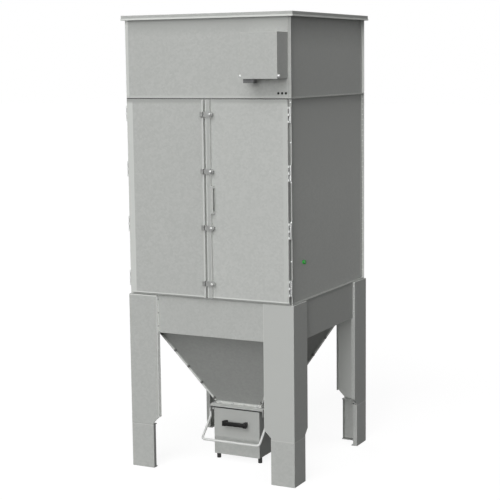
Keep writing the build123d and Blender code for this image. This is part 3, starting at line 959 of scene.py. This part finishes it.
def makeCartridge():
    c = cartridge
    foot = c["top"] - c["length"]
    middle = (foot + c["top"]) / 2
    body = addRound(c["radius"], c["length"] - c["cap"], 2 * c["pleats"], (0, 0, middle))
    edit(body)
    choose(body, lambda face: abs(face.normal.z) > 0.9)
    bpy.ops.mesh.delete(type="ONLY_FACE")
    leaveEdit()
    # every second edge of the round body becomes a valley
    edit(body, "VERT")
    chooseVertices(body, lambda place: round(atan2(place.y, place.x) / pi * c["pleats"]) % 2 == 1)
    share = c["valley"] / c["radius"]
    bpy.ops.transform.resize(value=(share, share, 1), center_override=(0, 0, middle))
    leaveEdit()
    body.data.materials.append(filterMedia)
    caps = []
    for low in (foot, c["top"] - c["cap"]):
        cap = addRound(c["capRadius"], c["cap"] - c["capGap"], 64, (0, 0, low + c["cap"] / 2))
        bevelled(cap, c["rim"], 2)
        smooth(cap)
        cap.data.materials.append(zincSteel)
        caps.append(cap)
    edit(caps[1])
    choose(caps[1], lambda face: face.normal.z > 0.99 and face.area > 0.05)
    bpy.ops.mesh.inset(thickness=c["capRadius"] - c["bore"] - c["rim"])
    depth = -c["length"] + 2 * c["cap"]
    bpy.ops.mesh.extrude_region_move(TRANSFORM_OT_translate={"value": (0, 0, depth)})
    leaveEdit()
    nut = addRound(c["nut"], c["nutHeight"], 6, (0, 0, foot - c["nutDrop"]))
    nut.data.materials.append(zincSteel)
    return joined([body, *caps, nut], "cartridge")


master = makeCartridge()
places = [
    Matrix.Translation((signX * cartridge["pitch"], signY * cartridge["pitch"], 0))
    for signX in (-1, 1)
    for signY in (-1, 1)
]
pleated = copies(master, places, "pleated_cartridges")
discard(master)
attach(pleated, "cabinet")
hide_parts("filter_cartridges")
print("cartridges made")


handle = {
    "half": 83 * mm,
    "face": -0.2,
    "reach": 38 * mm,
    "level": 0.224,
    "pad": 28 * mm,
    "padHalf": 17 * mm,
    "padSet": 2 * mm,
    "padEdge": 2.5 * mm,
    "rearTaper": (0.66, 1, 0.9),
    "frontTaper": (0.82, 1, 0.9),
    "cupRim": 6 * mm,
    "cup": 9 * mm,
    "barHalf": 12 * mm,
    "bar": 12 * mm,
    "barEnd": 8 * mm,
    "barEdge": 4 * mm,
    "screws": (69 * mm, -0.2265),
}


def makeHandle():
    h = handle
    front = h["face"] - h["reach"]
    bar = addBox(
        (-h["half"] + h["barEnd"], front, h["level"] - h["barHalf"]),
        (h["half"] - h["barEnd"], front + h["bar"], h["level"] + h["barHalf"]),
    )
    bevelled(bar, h["barEdge"], 3)
    pieces = [bar]
    for sign in (-1, 1):
        outer = sign * h["half"]
        inner = sign * (h["half"] - h["pad"])
        pad = addBox(
            (min(outer, inner), front + h["padSet"], h["level"] - h["padHalf"]),
            (max(outer, inner), h["face"], h["level"] + h["padHalf"]),
        )
        edit(pad)
        centre = (inner, front, h["level"])
        choose(pad, facing((0, 1, 0)))
        bpy.ops.transform.resize(value=h["rearTaper"], center_override=centre)
        choose(pad, facing((0, -1, 0)))
        bpy.ops.transform.resize(value=h["frontTaper"], center_override=centre)
        bpy.ops.mesh.inset(thickness=h["cupRim"])
        bpy.ops.mesh.extrude_region_move(TRANSFORM_OT_translate={"value": (0, h["cup"], 0)})
        leaveEdit()
        bevelled(pad, h["padEdge"], 3)
        pieces.append(pad)
    whole = joined(pieces, "bin_bow_handle")
    smooth(whole)
    finishPiece(whole, blackPlastic)
    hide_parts("bin_handle")


makeHandle()
screwX, screwY = handle["screws"]
places = [aim((side * screwX, screwY, handle["level"]), (0, -1, 0)) for side in (-1, 1)]
finishPiece(copies(screw, places, "bin_handle_screws"), zincSteel)
print("bin handle made")


# a black rubber seal round the bin's top, reaching below the cover's lip to show as a dark line:
# partly a real seal, partly a painted shadow under the lip
binSeal = {
    "x": 0.145,
    "y": 0.200,
    "low": 0.3035,
    "high": 0.3175,
    "proud": 1.6 * mm,
    "edge": 0.5 * mm,
}


def makeBinShadowSeal():
    b = binSeal
    out = b["proud"]
    band = addBox((-b["x"] - out, -b["y"] - out, b["low"]), (b["x"] + out, b["y"] + out, b["high"]))
    edit(band)
    choose(band, lambda face: abs(face.normal.z) > 0.9)
    bpy.ops.mesh.delete(type="FACE")
    leaveEdit()
    addModifier(band, "SOLIDIFY", thickness=out, offset=-1)
    bevelled(band, b["edge"], 2)
    smooth(band)
    band.name = "bin_top_shadow_seal"
    finishPiece(band, blackRubber)


makeBinShadowSeal()
print("bin seal made")


bail = {
    "radius": 7 * mm,
    "end": 0.158,
    "half": 0.183,
    "pivot": (-0.175, 0.290),
    "knee": 0.242,
    "bar": (-0.2825, 0.1335),
    "endBend": 10 * mm,
    "bend": 18 * mm,
    "sides": 16,
    "steps": 6,
}


def makeBail():
    # the section is carried along one half of the bail and mirrored
    b = bail
    y, z = b["pivot"]
    slope = Vector((0, b["bar"][0] - y, b["bar"][1] - b["knee"]))
    ahead = slope.normalized()
    deselect()
    bpy.ops.mesh.primitive_circle_add(
        vertices=b["sides"],
        radius=b["radius"],
        location=(b["end"], y, z),
        rotation=(0, pi / 2, 0),
        fill_type="NGON",
    )
    rod = settle(bpy.context.object, "bail")
    edit(rod)
    bpy.ops.mesh.select_all(action="SELECT")

    def go(move):
        bpy.ops.mesh.extrude_region_move(TRANSFORM_OT_translate={"value": tuple(move)})

    def turn(angle, centre, axis):
        bpy.ops.mesh.spin(steps=b["steps"], angle=angle, center=tuple(centre), axis=tuple(axis))

    go((b["half"] - b["endBend"] - b["end"], 0, 0))
    turn(pi / 2, (b["half"] - b["endBend"], y, z - b["endBend"]), (0, -1, 0))
    tilt = atan2(-ahead.y, -ahead.z)
    cutOff = b["bend"] * sin(tilt / 2) / cos(tilt / 2)
    go((0, 0, -(z - b["endBend"] - b["knee"] - cutOff)))
    turn(tilt, (b["half"], y - b["bend"], b["knee"] + cutOff), (1, 0, 0))
    go(ahead * (slope.length - cutOff - b["bend"]))
    corner = Vector((b["half"], *b["bar"]))
    centre = corner - ahead * b["bend"] - Vector((b["bend"], 0, 0))
    side = Vector((-1, 0, 0))
    turn(pi / 2, centre, side.cross(ahead))
    go((-(b["half"] - b["bend"]), 0, 0))
    bpy.ops.mesh.delete(type="FACE")
    bpy.ops.mesh.select_all(action="SELECT")
    bpy.ops.mesh.remove_doubles(threshold=0.00001)
    bpy.ops.mesh.normals_make_consistent(inside=False)
    leaveEdit()
    addModifier(rod, "MIRROR", use_axis=(True, False, False), use_clip=True, merge_threshold=0.0002)
    smooth(rod, 50)
    rod.name = "swing_bail"
    finishPiece(rod, bailPaint, "bin_bail")
    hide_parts("bin_bail")


makeBail()
print("bail made")


rows = (1.086, 1.390, 1.694, 1.998)
latch = {"pivot": 0.0425, "front": -0.5484, "knob": 7 * mm, "rise": 5 * mm}


def makeKnob(radius, rise):
    knob = addRound(radius, rise, 28, (0, 0, rise / 2))
    edit(knob)
    choose(knob, facing((0, 0, 1)))
    bpy.ops.mesh.inset(thickness=radius * 0.35)
    bpy.ops.transform.translate(value=(0, 0, rise * 0.25))
    leaveEdit()
    bevelled(knob, radius * 0.12, 2)
    smooth(knob, 40)
    return knob


master = makeKnob(latch["knob"], latch["rise"])
places = [aim((latch["pivot"], latch["front"], level), (0, -1, 0)) for level in rows]
finishPiece(copies(master, places, "latch_knobs"), knobSteel, "right_door")
discard(master)

# screws through the hinge leaf on each door's edge
hingeScrew = {"edge": 0.489, "depth": -0.511, "steps": (-0.023, 0.023)}
for side, body in ((-1, "left_door"), (1, "right_door")):
    places = [
        aim((side * hingeScrew["edge"], hingeScrew["depth"], level + step), (side, 0, 0))
        for level in rows
        for step in hingeScrew["steps"]
    ]
    finishPiece(copies(screw, places, f"{body}_hinge_screws"), zincSteel, body)

keeperScrew = {"x": -0.0118, "front": -0.5430, "steps": (-0.008, 0.008)}
places = [
    aim((keeperScrew["x"], keeperScrew["front"], level + step), (0, -1, 0))
    for level in rows
    for step in keeperScrew["steps"]
]
finishPiece(copies(screw, places, "keeper_screws"), keeperSteel, "left_door")

boxScrew = {
    "ends": ((0.270, -1), (0.480, 1)),
    "y": -0.6175,
    "level": 2.199,
    "radius": 8 * mm,
    "rise": 8 * mm,
}
master = makeKnob(boxScrew["radius"], boxScrew["rise"])
places = [
    aim((x, boxScrew["y"], boxScrew["level"]), (side, 0, 0)) for x, side in boxScrew["ends"]
]
finishPiece(copies(master, places, "control_box_screws"), capSteel)
discard(master)
print("small fittings made")


plug = {
    "place": (0.482, -0.327, 1.203),
    "radius": 11 * mm,
    "length": 13 * mm,
    "wall": 3 * mm,
    "edge": 1 * mm,
    "mouth": 0.6,
    "gap": 1.5 * mm,
    "stub": 0.7,
}


def makePlug():
    # a green union collar round a steel stub
    p = plug
    ring = addRound(p["radius"], p["length"], 32, (0, 0, p["length"] / 2))
    edit(ring)
    choose(ring, facing((0, 0, 1)))
    bpy.ops.mesh.inset(thickness=p["wall"])
    depth = -p["length"] * p["mouth"]
    bpy.ops.mesh.extrude_region_move(TRANSFORM_OT_translate={"value": (0, 0, depth)})
    leaveEdit()
    bevelled(ring, p["edge"], 3)
    smooth(ring)
    ring.data.transform(aim(p["place"], (1, 0, 0)))
    finishPiece(joined([ring], "wall_plug_collar"), greenRing)
    stub = makeKnob(p["radius"] - p["wall"] - p["gap"], p["length"] * p["stub"])
    stub.data.transform(aim(p["place"], (1, 0, 0)))
    finishPiece(joined([stub], "wall_plug_stub"), zincSteel)


makePlug()
discard(hexBolt, rivet, screw)
print("wall plug made")


camera = {
    "place": (3.4455, -6.7903, 2.2599),
    "yaw": 0.4700,
    "pitch": 0.13829,
    "roll": -0.01124,
    "lens": 96.17,
    "sensor": 36,
    "far": 200,
}


def setCamera():
    yaw, pitch, roll = camera["yaw"], camera["pitch"], camera["roll"]
    ahead = Vector((-sin(yaw) * cos(pitch), cos(yaw) * cos(pitch), -sin(pitch)))
    right = Vector((cos(yaw), sin(yaw), 0))
    up = right.cross(ahead)
    right, up = cos(roll) * right + sin(roll) * up, cos(roll) * up - sin(roll) * right
    data = bpy.data.cameras.new("photoCamera")
    data.lens = camera["lens"]
    data.sensor_width = camera["sensor"]
    data.clip_end = camera["far"]
    view = bpy.data.objects.new("photoCamera", data)
    bpy.context.scene.collection.objects.link(view)
    turn = Matrix((right, up, -ahead)).transposed().to_4x4()
    view.matrix_world = Matrix.Translation(camera["place"]) @ turn
    bpy.context.scene.camera = view


lights = {
    "key": {"direction": (0.0, -0.76, 0.65), "strength": 1.7, "angle": 48},
    "top": {"direction": (0.4, -0.1, 0.9), "strength": 0.4, "angle": 35},
    "front": {"direction": (0.23, -1, 0.09), "strength": 1.72, "angle": 24},
    "back": {"direction": (-0.75, 0.6, 0.35), "strength": 0.95, "angle": 55},
    "fill": 0.05,
    "floor": 0.31,
    "floorSize": 120,
    "floorCloud": 0.8,
    "floorSeen": 0.18,
    "floorGlow": 0.9,
}


def addSun(name):
    light = lights[name]
    data = bpy.data.lights.new(name + "Light", "SUN")
    data.energy = light["strength"]
    data.angle = radians(light["angle"])
    sun = bpy.data.objects.new(name + "Light", data)
    bpy.context.scene.collection.objects.link(sun)
    sun.matrix_world = aim((0, 0, 5), light["direction"])


def setLights():
    for name in ("key", "top", "front", "back"):
        addSun(name)
    world = bpy.data.worlds.new("studio")
    world.use_nodes = True
    tree = world.node_tree
    path = tree.nodes.new("ShaderNodeLightPath")
    seen = path.outputs["Is Camera Ray"]
    for name in ("Is Glossy Ray", "Is Transmission Ray"):
        larger = tree.nodes.new("ShaderNodeMath")
        larger.operation = "MAXIMUM"
        tree.links.new(seen, larger.inputs[0])
        tree.links.new(path.outputs[name], larger.inputs[1])
        seen = larger.outputs[0]
    strength = tree.nodes.new("ShaderNodeMapRange")
    strength.inputs["To Min"].default_value = lights["fill"]
    strength.inputs["To Max"].default_value = 1
    tree.links.new(seen, strength.inputs["Value"])
    tree.links.new(strength.outputs[0], tree.nodes["Background"].inputs["Strength"])
    tree.nodes["Background"].inputs["Color"].default_value = (1, 1, 1, 1)
    bpy.context.scene.world = world


def makeFloor():
    deselect()
    bpy.ops.mesh.primitive_plane_add(size=lights["floorSize"])
    floor = bpy.context.object
    floor.name = "studio_floor"
    finish = Finish("studioFloor")
    seen = finish.node("LightPath", {}, {}, "Is Camera Ray")
    cloud = finish.noise(lights["floorCloud"], 2)
    white = (1, 1, 1)
    light = shade(white, lights["floor"])
    plain = finish.mixColours(0.5 * cloud, light, shade(white, lights["floor"] * 0.95))
    finish.set(
        Base_Color=finish.mixColours(seen, plain, shade(white, lights["floorSeen"])),
        Roughness=0.9,
        Specular_IOR_Level=0.0,
        Emission_Color=finish.mixColours(seen, (0, 0, 0), shade(white, lights["floorGlow"])),
        Emission_Strength=1.0,
    )
    floor.data.materials.append(finish.material)


setCamera()
setLights()
makeFloor()
bpy.context.scene.view_settings.view_transform = "Standard"
print("studio made")
